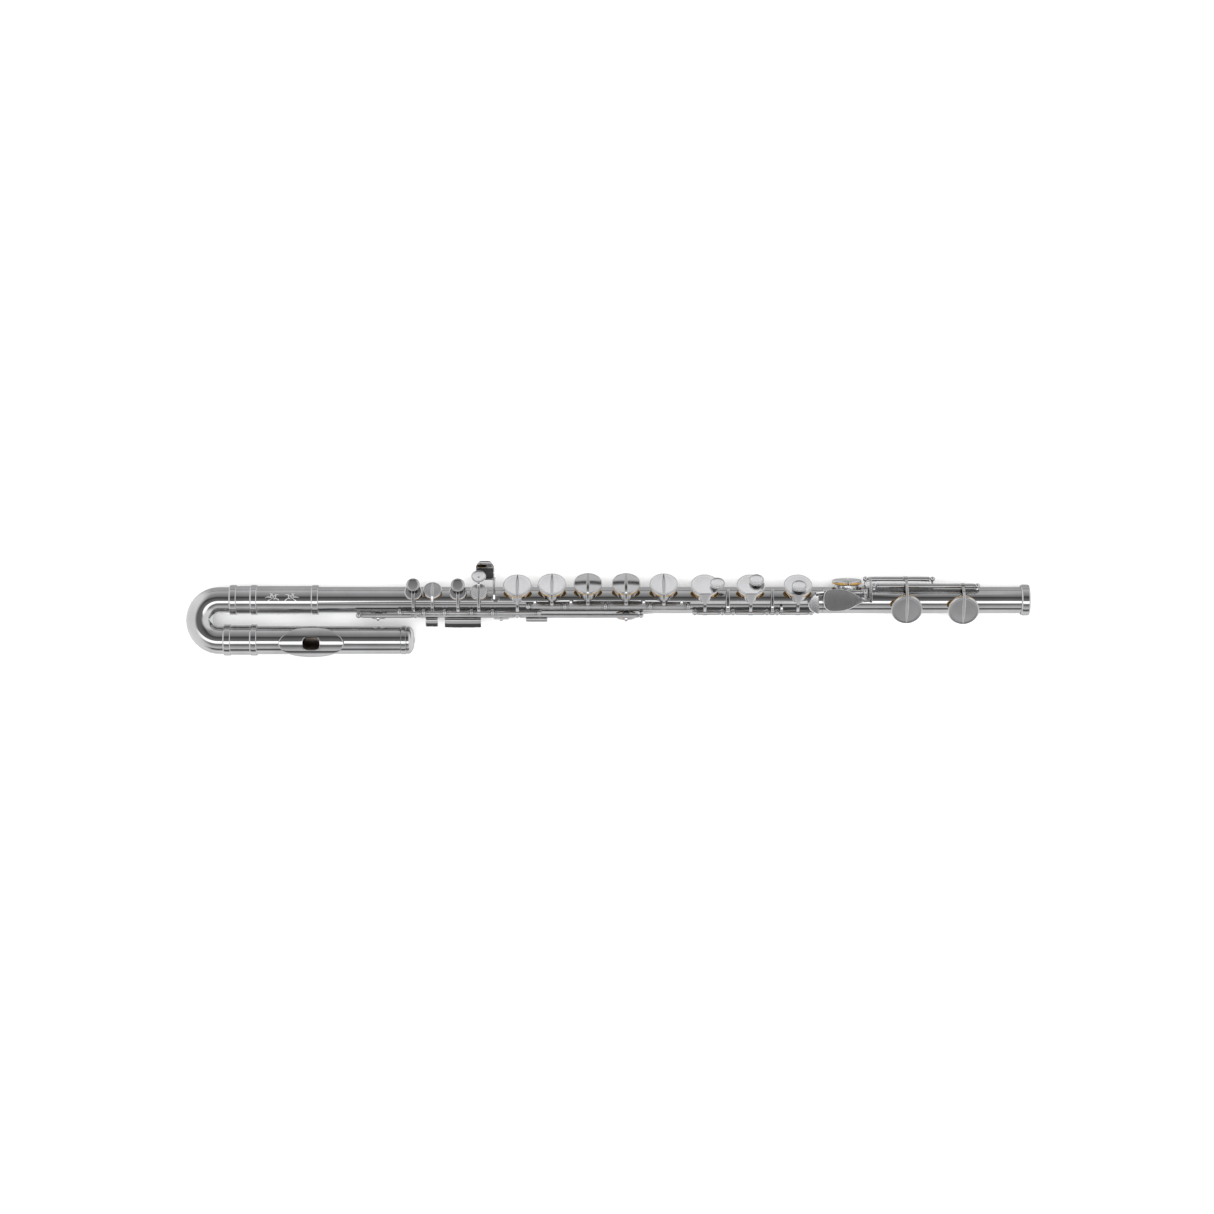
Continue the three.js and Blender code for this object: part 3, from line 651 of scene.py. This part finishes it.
def post(shape, line, foot_phi, x):
    """A turned post: flared foot, waisted stem and a ball on the hinge line."""
    phi = math.radians(foot_phi)
    foot = Vector((x, math.sin(phi) * POST_FOOT, math.cos(phi) * POST_FOOT))
    head = Vector((x, *LINES[line]))
    rise = head - foot
    matrix = Matrix.Translation(foot) @ rise.to_track_quat("Z", "Y").to_matrix().to_4x4()
    length = rise.length
    profile = [(2.1, 0), (1.9, 0.5), (1.45, 1.1), (1.2, 1.8)]
    neck = length - BALL * 0.8
    if neck > 2.2:
        profile.append((1.2, neck - 0.3))
    profile.append((1.6, neck))
    for i in range(1, 9):
        t = math.radians(-50 + 140 * i / 9)
        profile.append((BALL * math.cos(t) * 0.98, length + BALL * math.sin(t) * 0.92))
    shape.lathe(profile, matrix, 24)
    for side in (-1, 1):
        collar = [(1.9, side * 2.3), (1.9, side * 2.8), (1.6, side * 3.0)]
        shape.lathe(collar, along_x(x, *LINES[line]), 24)


def ribs():
    """Each rib with its straps and the posts soldered to them."""
    for name, rib in RIBS.items():
        shape = Shape()
        for span in rib["straps"]:
            strap(shape, *span)
        for line, foot_phi, places in rib["posts"]:
            for x in places:
                post(shape, line, foot_phi, x)
        place(f"{name}_and_posts", shape, [SILVER], "flute_body", [name], sharp=40)


def steels():
    """The rods that the hinge tubes turn on."""
    for name, (start, end) in STEELS.items():
        shape = Shape()
        rod = [(0.9, start), (1.2, start + 0.3), (1.2, end - 0.3), (0.9, end)]
        shape.lathe(rod, along_x(0, *LINES[name]), 24)
        place(f"{name}_steel_rod", shape, [STEEL], "flute_body", [f"{name}_hinge_steel"])


# Keys --------------------------------------------------------------------------------------------
def hinge_of(name):
    """A joint's hinge line as (y, z) in the flute's axes, mm."""
    for joint in frame["joints"]:
        if joint["name"] == f"{name}_hinge":
            spot = (Vector(joint["pos_m"]) - ORIGIN) * 1000
            return spot.y, spot.z
    raise ValueError(name)


def standing(name, degrees):
    """The turn about the hinge that takes a shut key to where it stands at rest."""
    y, z = hinge_of(name)
    there = Matrix.Translation((0, y, z))
    return there @ Matrix.Rotation(math.radians(degrees), 4, "X") @ there.inverted()


def hinge_tube(shape, name, start, end):
    """A bored hinge tube with a turned collar at each end."""
    y, z = hinge_of(name)
    groove = HINGE_TUBE - 0.35
    collar = [(HINGE_TUBE - 0.25, 0), (HINGE_TUBE, 0.25), (HINGE_TUBE, 1.4), (groove, 1.6), (groove, 2.0),
              (HINGE_TUBE, 2.2)]
    outer = [(radius, start + inset) for radius, inset in collar]
    outer += [(radius, end - inset) for radius, inset in reversed(collar)]
    bore = [(HINGE_BORE, start), (HINGE_BORE, end)]
    hollow(shape, outer, bore, along_x(0, y, z), 32)


def cup(shape, x, phi, dome, spec):
    """A cup: a beaded skirt, a rounded shoulder, and a face that swells by dome."""
    radius, face = spec["radius"], spec["face"]
    low = face - SKIRT
    profile = [(0.5, face - 0.9), (radius - 0.85, face - 0.9), (radius - 0.85, low + 0.2),
               (radius - 0.6, low), (radius - 0.15, low), (radius, low + 0.25), (radius, low + 0.7),
               (radius - 0.25, low + 0.95)]
    shoulder = 1.1
    for i in range(6):
        t = math.pi / 2 * i / 5
        profile.append((radius - 0.25 - shoulder * (1 - math.cos(t)), face - 1.35 + shoulder * math.sin(t)))
    wall_bands = len(profile) - 1
    edge = radius - 1.6
    for i in range(7):
        reach = edge * (1 - i / 6)
        profile.append((max(reach, 0.1), face - dome * (reach / edge) ** 2))
    marks = [0] * wall_bands + [1] * (len(profile) - 1 - wall_bands)
    shape.lathe(profile, outward(x, phi), ROUND, mark=marks)


def pad(name, x, phi, size, turn, body):
    """A pad: its soft side bulges below the skirt, and the seat ring is pressed into its face."""
    spec = CUPS[size]
    edge, low, top = spec["radius"] - 1.0, spec["rim"] + 0.3, spec["face"] - 1.2
    skirt = spec["face"] - SKIRT - 0.05
    seat = spec["hole"] + 0.5
    profile = [(0.5, top), (edge - 0.3, top), (edge - 0.05, top - 0.3), (edge, skirt + 0.1),
               (edge + 0.55, skirt), (edge + 0.75, skirt * 0.6 + low * 0.4), (edge + 0.6, low + 0.5),
               (edge + 0.1, low + 0.12), (edge - 0.7, low), (seat + 0.9, low), (seat + 0.45, low + 0.12),
               (seat, low + 0.25), (seat - 0.45, low + 0.12), (seat - 0.9, low), (3.2, low),
               (2.9, low - 0.05), (0.5, low - 0.05)]
    shape = Shape()
    shape.lathe(profile, outward(x, phi), ROUND)
    piece = place(f"{name}_pad_skin", shape, [PAD], body, [f"{name}_pad"], turn=turn, sharp=50)


def arm_line(name, phi, spec):
    """The hinge, the knee, and the cup's near and far edges, as points in the YZ plane."""
    y, z = hinge_of(name)
    hinge = Vector((0, y, z))
    out = Vector((0, math.sin(math.radians(phi)), math.cos(math.radians(phi))))
    along = Vector((0, out.z, -out.y))
    near_side = math.copysign(1, hinge.dot(along))
    top = out * (spec["face"] + 0.35)
    near_edge = top + along * near_side * (spec["radius"] - 0.8)
    far_edge = top - along * near_side * spec["radius"] * 0.86
    knee = hinge.lerp(near_edge, 0.45)
    knee += knee.normalized() * KNEE_LIFT.get(name, ARM_KNEE_LIFT)
    return hinge, knee, near_edge, far_edge


def arm(shape, name, x, phi, spec, fork):
    """An arm from the hinge to the cup: a spine over the face, or a web that forks at its edge."""
    hinge, knee, near_edge, far_edge = arm_line(name, phi, spec)
    rise = smooth_path([hinge, knee, near_edge], 8)
    if fork:
        landing = [near_edge.lerp(far_edge, 0.04), near_edge.lerp(far_edge, 0.09)]
        widths = blend_values([4.6, 3.6, 3.8, 7, 13], len(rise)) + [13.5, 12]
        heights = blend_values([2.4, 2.0, 1.6], len(rise)) + [1.2, 0.6]
    else:
        landing = [near_edge.lerp(far_edge, i / 8) for i in range(1, 9)]
        widths = blend_values([4.6, 3.4, 3.4], len(rise)) + [3.7, 4.1, 4.3, 4.2, 3.8, 3.2, 2.3, 1.2]
        heights = blend_values([2.4, 2.2, 2.2], len(rise)) + [2.3, 2.3, 2.2, 2.0, 1.8, 1.5, 1.1, 0.6]
    path = [p + Vector((x, 0, 0)) for p in rise + landing]
    shape.sweep(path, widths, heights, sides=16, boxy=0.5)
    y, z = hinge_of(name)
    boss = HINGE_TUBE + 0.35
    shape.lathe([(HINGE_TUBE, -2.9), (boss, -2.6), (boss, 2.6), (HINGE_TUBE, 2.9)], along_x(x, y, z), 32)


def button(shape, x, phi, spec, radius, along, across, lift, tilt):
    """A finger button on a short stem: a round polished rim about a dished brushed centre."""
    matrix = outward(x, phi) @ Matrix.Translation((along, across, spec["face"] + lift))
    tilted = matrix @ Matrix.Rotation(-math.radians(tilt), 4, "X")
    profile = [(0.5, -1.0), (radius - 1.6, -1.0), (radius - 0.7, -0.8), (radius - 0.15, -0.3),
               (radius, 0.2)]
    for i in range(1, 6):
        t = math.pi * 0.72 * i / 5
        profile.append((radius - 0.85 + 0.85 * math.cos(t), 0.2 + 0.75 * math.sin(t)))
    rim_bands = len(profile)
    dish = radius - 1.9
    for i in range(6):
        reach = dish * (1 - i / 5)
        profile.append((max(reach, 0.1), 0.1 + 0.35 * (reach / dish) ** 2))
    marks = [0] * rim_bands + [1] * (len(profile) - 1 - rim_bands)
    shape.lathe(profile, tilted, 56, mark=marks)
    reach = math.copysign(min(abs(across), spec["radius"] * 0.6), across)
    foot_along = min(along, spec["radius"] - 5)
    line = [Vector((foot_along, reach, spec["face"] - 0.2)),
            Vector((foot_along, reach, spec["face"] + lift / 2)),
            Vector((along, across, spec["face"] + lift - 0.6))]
    path = [outward(x, phi) @ p for p in smooth_path(line, 5)]
    shape.sweep(path, [3.6] * len(path), [3.4] * len(path))


def plate(shape, outline, low, high, mark=0):
    """A flat plate between two heights with its top edge eased."""
    middle = sum(outline, Vector((0, 0))) / len(outline)

    def ring(shrink, z):
        """The outline drawn in towards its middle, at a height."""
        return [Vector((*(p - (p - middle).normalized() * shrink), z)) for p in outline]

    shape.loft([ring(0.4, low), ring(0, low + 0.3), ring(0, high - 0.4), ring(0.4, high - 0.05),
                ring(0.9, high), ring(1.6, high - 0.08)], mark=mark)


def bent_blade(shape, line, start, end, thickness):
    """A wide plate bent in the YZ plane, spanning start to end along X."""
    path = smooth_path([Vector(((start + end) / 2, y, z)) for y, z in line])
    shape.sweep(path, [end - start] * len(path), [thickness] * len(path), sides=20)


def leaf_outline():
    """The leaf touch seen from above: a stalk that widens to a round end, the same on both sides."""
    middle_y = -3.5
    half = [(318, 2.2), (308, 2.8), (300, 6), (291.5, 10.6), (281, 13.2), (269, 13), (262.4, 10),
            (260.3, 4), (260.2, 0)]
    upper = smooth_path([Vector((x, y, 0)) for x, y in half], 6)
    lower = [Vector((p.x, -p.y, 0)) for p in reversed(upper[:-1])]
    return [Vector((p.x, p.y + middle_y)) for p in upper + lower]


def fan_outline():
    """The D sharp touch seen from above: a curved fan with a straight edge."""
    curve = [(253.4, -16.9), (248.4, -15), (243.9, -11.2), (242.1, -6), (243.6, -0.5), (248, 5.2),
             (253.4, 8.8)]
    fan = smooth_path([Vector((x, y, 0)) for x, y in curve], 5)
    return [Vector((p.x, p.y)) for p in fan] + [Vector((255, 8.2)), Vector((255, -16.4))]


def clutch_lug(shape, name, start, end):
    """A lug on the hinge tube that carries the adjusting screw to the next key."""
    y, z = hinge_of(name)
    bent_blade(shape, [(y, z), (y + 3.4, z + 3.3), (y + 8.2, z + 3.6)], start, end, 1.5)
    screw = Matrix.Translation(((start + end) / 2, y + 6.6, z + 2.4))
    profile = [(0.8, 0), (1.2, 0.3), (1.2, 2.2), (1.55, 2.4), (1.55, 3.3), (1.2, 3.6), (0.3, 3.6),
               (0.25, 3.2), (0.1, 3.2)]
    shape.lathe(profile, screw, 20)


def touches(shape, name):
    """The plates that the thumb and little fingers press."""
    y, z = hinge_of(name)
    if name == "thumb_key":
        bent_blade(shape, [(y, z), (-25.5, 10.2), (-32.3, 3.5)], -196, -152, 1.7)
        bent_blade(shape, [(y, z), (-25.3, 10.3), (-31.3, 4.5)], -219, -204, 1.7)
    if name == "g_sharp_key":
        bent_blade(shape, [(y, z), (-22.8, 10.8), (-25.6, 8.5), (-26, 4.2)], -98, -72, 1.7)
    if name == "d_sharp_key":
        bent_blade(shape, [(y, z), (9.6, 24.6)], 266.8, 271, 3)
        lug = [Vector(p) for p in ((250, 4.5), (271, 7), (271, 11.5), (250, 9))]
        plate(shape, lug, 24.2, 26)
        plate(shape, fan_outline(), 24.2, 26, mark=2)
    if name == "low_c_sharp_key":
        bent_blade(shape, [(y, z), (24.5, 17), (17, 23.3), (6, 27.3), (-6.3, 27.5)], 315.4, 318.6, 1.8)
        plate(shape, leaf_outline(), 26.6, 28.4, mark=2)


def face_material(name):
    """The finish of a key's cup face; the grey faces are a darker copy of the brushed silver, painted
    shade.
    """
    if name in POLISHED_FACES:
        return MIRROR
    return SHADED_BRUSHED_SILVER if name in SHADE_PAINTED_FACES else SATIN


def keys():
    """Every key: its cup, arm, hinge tube, touches and button as one piece, and its pad."""
    for name, (x, phi, size, (start, end), degrees, knob) in KEYS.items():
        spec = CUPS[size]
        turn = standing(name, degrees)
        body = f"{name}_body"
        shape = Shape()
        dome = POLISHED_DOME if name in POLISHED_FACES else FACE_DOME
        cup(shape, x, phi, dome, spec)
        arm(shape, name, x, phi, spec, fork=bool(knob) and size == "large")
        hinge_tube(shape, name, start, end)
        touches(shape, name)
        if name in LUGS:
            clutch_lug(shape, name, *LUGS[name])
        if knob:
            button(shape, x, phi, spec, *knob)
        finishes = [SILVER, face_material(name), SATIN]
        place(f"{name}_cup_and_arm", shape, finishes, body, [name], turn=turn)
        pad(name, x, phi, size, turn, body)


def trill_touches():
    """The two right-hand levers, each a blade on a short hinge tube."""
    for name, start, end in (("upper_trill_touch", 142, 149), ("lower_trill_touch", 196, 202)):
        y, z = hinge_of(name)
        shape = Shape()
        outer = [(HINGE_TUBE, start), (HINGE_TUBE, end)]
        bore = [(HINGE_BORE, start), (HINGE_BORE, end)]
        hollow(shape, outer, bore, along_x(0, y, z), 32)
        blade = [(y, z), (y + 4, z + 9), (-2, 24.3), (8, 21.9), (13.4, 18.6)]
        bent_blade(shape, blade, start + 1.2, end - 1.2, 1.8)
        place(f"{name}_lever", shape, [SILVER], f"{name}_body", [name])


def hand_rest():
    """A saddle for the left hand: its outer end is round and curls over, and a liner fills its dip."""
    saddle_x, saddle_width, round_from, round_length = -147.25, 22.4, 36, 12.5
    curl = ((24.6, 11), (28, 8.6), (33, 8.1), (39, 10.6), (44.4, 15.4), (47.0, 15.4))
    line = smooth_path([Vector((saddle_x, y, z)) for y, z in curl])
    widths = []
    for p in line:
        beyond = max(0.0, p.y - round_from) / round_length
        widths.append(saddle_width * math.sqrt(max(0.06, 1 - beyond ** 2.4)))
    shape = Shape()
    shape.sweep(line, widths, [1.7] * len(line), sides=24)
    bent_blade(shape, [(1, 18), (8, 18.9), (17, 16.8), (26.6, 9.9)], -137.6, -134.4, 2.5)
    foot = [Vector((-134.4 + 5.2 * math.cos(a), 1.8 + 3.9 * math.sin(a)))
            for a in (2 * math.pi * i / 32 for i in range(32))]
    plate(shape, foot, 16.8, 18.6)
    place("hand_rest_saddle", shape, [SILVER], "flute_body", ["hand_rest"])
    dip = [i for i, p in enumerate(line) if 26.5 < p.y < 38.5]
    path = [line[i] + Vector((0, 0, 1.05)) for i in dip]
    liner = Shape()
    liner.sweep(path, [widths[i] - 2.4 for i in dip], [0.9] * len(dip), sides=24)
    place("hand_rest_liner", liner, [LINER], "flute_body", [])


# Fine detail -------------------------------------------------------------------------------------
def needle_springs():
    """Blued needles that lean from each post towards the key it drives."""
    length = 14
    taper = [0.5, 0.5, 0.42, 0.36, 0.28]
    shape = Shape()
    for rib in RIBS.values():
        for line, foot_phi, places in rib["posts"]:
            y, z = LINES[line]
            phi = math.radians(foot_phi)
            inward = Vector((0, -math.sin(phi), -math.cos(phi)))
            for i, x in enumerate(places):
                way = 1 if i < len(places) - 1 or len(places) == 1 else -1
                start = Vector((x, y, z)) + inward * (BALL * 1.05)
                end = start + Vector((way * length, 0, 0)) - inward * 0.5
                path = [start.lerp(end, k / 4) for k in range(5)]
                shape.sweep(path, taper, taper, side=Vector((0, 1, 0)), sides=8)
    place("needle_springs", shape, [BLUED], "flute_body", [], sharp=60)


def barrel_engraving():
    """Raised leaf sprays round the barrel, bright against its polish."""
    radius = 17.15
    sprays, leaves, steps = 3, 7, 9
    depths = [0.3] * steps
    widths = blend_values([0.35, 0.9, 1.3, 1.0, 0.3], steps)
    shape = Shape()

    def leaf(centre_x, middle, way, k):
        """Points along leaf k of a spray: it leans and bends away from the spray's middle."""
        lean = math.radians(-75 + 25 * k)
        curl = 0.9 if k % 2 else -0.9
        length = 8.5 - 0.7 * abs(k - 3)
        path = []
        for i in range(steps):
            t = i / (steps - 1)
            bend = lean + curl * t
            reach = 1.5 + length * t
            turn = middle + reach * math.cos(bend) / radius - 0.12
            x = centre_x + way * reach * math.sin(bend)
            path.append(Vector((x, radius * math.sin(turn), radius * math.cos(turn))))
        return path

    for spray in range(sprays):
        middle = math.radians(8 + 360 / sprays * spray)
        out = Vector((0, math.sin(middle), math.cos(middle)))
        for centre_x, way in ((-403, 1), (-380, -1)):
            for k in range(leaves):
                shape.sweep(leaf(centre_x, middle, way, k), depths, widths, side=out, sides=6)
    place("barrel_engraving", shape, [SATIN], "flute_body", [], sharp=70)


# Camera, floor and light ---------------------------------------------------------------------------
def studio():
    """A camera straight above, a white floor, soft overhead light and a banded studio sky."""
    view_centre_y = -8.5
    camera_height = 4.0
    view_width = 1.4689
    camera = bpy.data.objects.new("camera", bpy.data.cameras.new("camera"))
    camera.data.sensor_width = 36
    camera.data.lens = 36 * (camera_height - ORIGIN.z) / view_width
    camera.data.clip_end = 50
    camera.location = ORIGIN + Vector((0, view_centre_y / 1000, camera_height - ORIGIN.z))
    bpy.context.scene.collection.objects.link(camera)
    bpy.context.scene.camera = camera

    mesh = bpy.data.meshes.new("floor")
    half = 30
    corners = [(-half, -half, 0), (half, -half, 0), (half, half, 0), (-half, half, 0)]
    mesh.from_pydata(corners, [], [(0, 1, 2, 3)])
    floor = bpy.data.objects.new("floor", mesh)
    bpy.context.scene.collection.objects.link(floor)
    nodes = Nodes("floor_paper")
    whites = [(0.3, (0.88, 0.88, 0.88)), (0.7, (0.90, 0.90, 0.90))]
    nodes.link(nodes.ramp(nodes.noise((3, 3, 3)), whites), nodes.shader.inputs["Base Color"])
    nodes.shader.inputs["Roughness"].default_value = 1.0
    nodes.shader.inputs["Specular IOR Level"].default_value = 0.0
    mesh.materials.append(nodes.material)
    floor.visible_glossy = False

    key = bpy.data.objects.new("overhead", bpy.data.lights.new("overhead", "SUN"))
    key.data.energy = 2.9
    key.data.angle = math.radians(70)
    key.visible_glossy = False
    bpy.context.scene.collection.objects.link(key)
    studio_sky()
    bpy.context.scene.view_settings.view_transform = "Standard"


def studio_sky():
    """Strip lights and dark gaps that run along the flute, closed by bright walls at both ends.

    Each band is an angle from straight up towards +Y, in degrees, and a brightness. Angles past 90 lie
    under the horizon: the pale sweep that the metal mirrors in place of the floor.
    """
    bands = [(-180, 0.70), (-142, 0.90), (-104, 1.15), (-92, 0.45), (-84, 0.10), (-78, 0.12), (-72, 0.95),
             (-60, 0.80), (-48, 0.50), (-39, 0.22), (-31, 0.45), (-26, 2.4), (-11, 2.4), (-8, 0.28),
             (4, 0.24), (13, 0.16), (23, 0.08), (32, 0.36), (60, 0.62), (72, 0.80), (86, 0.90),
             (87.5, 0.06), (90, 0.06), (91.5, 0.75), (120, 0.66), (150, 0.62), (180, 0.70)]
    end_wall, wall_from, wall_to = 1.25, 0.34, 0.62
    world = bpy.data.worlds.new("studio")
    bpy.context.scene.world = world
    world.use_nodes = True
    tree = world.node_tree

    def remap(output, low, high):
        """Low to high as 0 to 1."""
        node = tree.nodes.new("ShaderNodeMapRange")
        node.inputs["From Min"].default_value = low
        node.inputs["From Max"].default_value = high
        tree.links.new(output, node.inputs["Value"])
        return node.outputs["Result"]

    def maths(operation, *values):
        node = tree.nodes.new("ShaderNodeMath")
        node.operation = operation
        for value, socket in zip(values, node.inputs):
            tree.links.new(value, socket)
        return node.outputs["Value"]

    split = tree.nodes.new("ShaderNodeSeparateXYZ")
    tree.links.new(tree.nodes.new("ShaderNodeTexCoord").outputs["Generated"], split.inputs["Vector"])
    across = maths("ARCTAN2", split.outputs["Y"], split.outputs["Z"])
    ramp = tree.nodes.new("ShaderNodeValToRGB")
    elements = ramp.color_ramp.elements
    while len(elements) < len(bands):
        elements.new(0.5)
    for element, (degrees, level) in zip(elements, bands):
        element.position = (degrees + 180) / 360
        element.color = (level, level, level * 1.01, 1)
    tree.links.new(remap(across, -math.pi, math.pi), ramp.inputs["Fac"])
    mix = tree.nodes.new("ShaderNodeMix")
    mix.data_type = "RGBA"
    colours = [socket for socket in mix.inputs if socket.type == "RGBA"]
    colours[1].default_value = (end_wall, end_wall, end_wall * 1.01, 1)
    towards_end = maths("ABSOLUTE", split.outputs["X"])
    tree.links.new(remap(towards_end, wall_from, wall_to), mix.inputs["Factor"])
    tree.links.new(ramp.outputs["Color"], colours[0])
    result = [socket for socket in mix.outputs if socket.type == "RGBA"][0]
    tree.links.new(result, tree.nodes["Background"].inputs["Color"])


def stopper_cork():
    """The stopper cork keeps its CAD solid, in cork."""
    piece = frame["nodes"]["stopper_cork"]
    piece.data.materials.clear()
    piece.data.materials.append(CORK)


studio()
body_tube()
foot_tube()
head_tube()
lip_plate()
crown()
crook()
sleeve("head_ferrule_ring", "head_ferrule", (FERRULE_START_X, FERRULE_END_X), 17.4, 18.0,
       [(FERRULE_START_X, -454.4, 19.0), (-431.2, FERRULE_END_X, 19.0)], HEAD_AXIS_Y)
sleeve("barrel_sleeve", "barrel", (BARREL_START_X, BARREL_END_X), BODY_RADIUS + GAP, 17.0,
       [(BARREL_START_X, -447.4, 18.2), (-431.0, -422.7, 18.2), (-357.0, BARREL_END_X, 18.0)])
sleeve("foot_ring", "foot_end_ring", (500, FOOT_END_X), BODY_RADIUS + GAP, 17.2,
       [(500, FOOT_END_X, 18.9)])
ribs()
steels()
keys()
trill_touches()
hand_rest()
needle_springs()
barrel_engraving()
stopper_cork()
